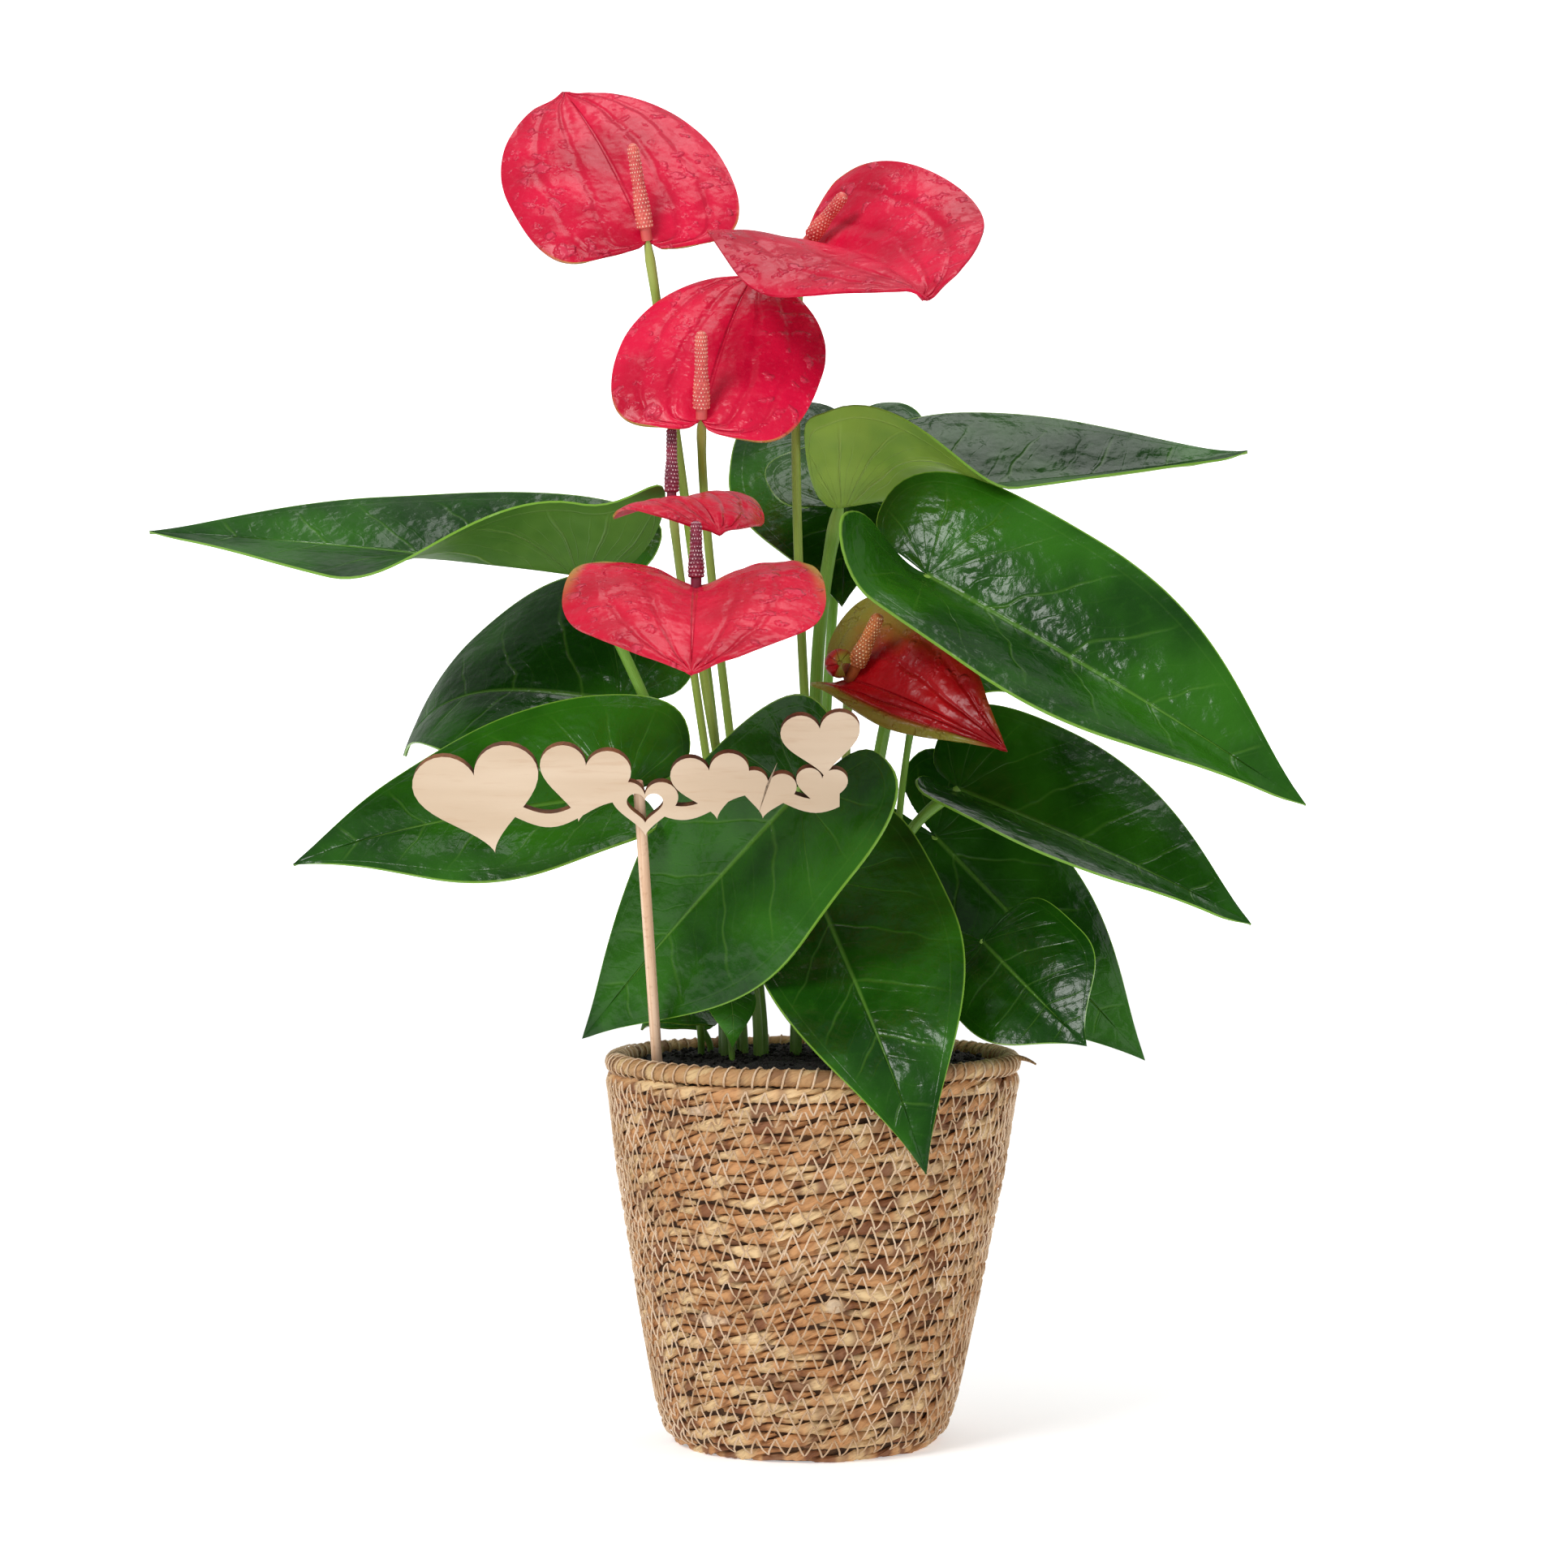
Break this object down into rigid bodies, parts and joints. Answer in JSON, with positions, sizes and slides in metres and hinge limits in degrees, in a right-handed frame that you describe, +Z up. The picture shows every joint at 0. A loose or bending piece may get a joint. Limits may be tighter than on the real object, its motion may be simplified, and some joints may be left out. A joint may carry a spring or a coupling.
{
  "type": "potted anthurium",
  "caption": "Flowering anthurium with heart-shaped leaves and spathes, standing in a nursery pot of soil inside a round woven seagrass basket, with a wooden heart pick on a stick.",
  "frame": {"origin": "centre of the basket's flat base", "axes": "+Z up, -Y towards the viewer of the picture, +X to the viewer's right"},
  "size_m": [0.399, 0.2411, 0.4784],
  "materials": {
    "seagrass": "twisted natural fibre rope, dull, uneven tan and brown",
    "pot_plastic": "thin black plastic",
    "earth": "damp dark potting soil with crumbs",
    "birch": "pale birch plywood, sanded, edges browned by the cut",
    "leaf": "leathery, glossy dark green with paler veins",
    "petiole": "smooth fresh green",
    "spathe": "waxy, glossy coral red, puckered along the veins",
    "flower_stalk": "smooth olive green",
    "spadix_salmon": "rows of tiny salmon florets",
    "spadix_purple": "rows of tiny purple florets with white tips",
    "spadix_orange": "rows of tiny orange-brown florets with cream tips"
  },
  "bodies": {
    "root": {"basket": "seagrass", "nursery_pot": "pot_plastic", "soil": "earth", "pick_stick": "birch", "pick_plate": "birch", "leaf_upper_right_blade": "leaf", "leaf_upper_right_stalk": "petiole", "leaf_right_large_blade": "leaf", "leaf_right_large_stalk": "petiole", "leaf_back_blade": "leaf", "leaf_back_stalk": "petiole", "leaf_left_long_blade": "leaf", "leaf_left_long_stalk": "petiole", "leaf_left_upper_blade": "leaf", "leaf_left_upper_stalk": "petiole", "leaf_left_lower_blade": "leaf", "leaf_left_lower_stalk": "petiole", "leaf_front_left_blade": "leaf", "leaf_front_left_stalk": "petiole", "leaf_front_blade": "leaf", "leaf_front_stalk": "petiole", "leaf_right_middle_blade": "leaf", "leaf_right_middle_stalk": "petiole", "leaf_right_back_blade": "leaf", "leaf_right_back_stalk": "petiole", "leaf_right_small_blade": "leaf", "leaf_right_small_stalk": "petiole", "leaf_young_back_blade": "leaf", "leaf_young_back_stalk": "petiole", "leaf_young_left_blade": "leaf", "leaf_young_left_stalk": "petiole", "leaf_young_front_blade": "leaf", "leaf_young_front_stalk": "petiole", "leaf_young_pale_blade": "leaf", "leaf_young_pale_stalk": "petiole", "flower_top_left_spathe": "spathe", "flower_top_left_spadix": "spadix_salmon", "flower_top_left_stalk": "flower_stalk", "flower_middle_spathe": "spathe", "flower_middle_spadix": "spadix_salmon", "flower_middle_stalk": "flower_stalk", "flower_top_right_spathe": "spathe", "flower_top_right_spadix": "spadix_salmon", "flower_top_right_stalk": "flower_stalk", "flower_back_small_spathe": "spathe", "flower_back_small_spadix": "spadix_purple", "flower_back_small_stalk": "flower_stalk", "flower_front_spathe": "spathe", "flower_front_spadix": "spadix_purple", "flower_front_stalk": "flower_stalk", "flower_right_low_spathe": "spathe", "flower_right_low_spadix": "spadix_orange", "flower_right_low_stalk": "flower_stalk"}
  },
  "joints": []
}
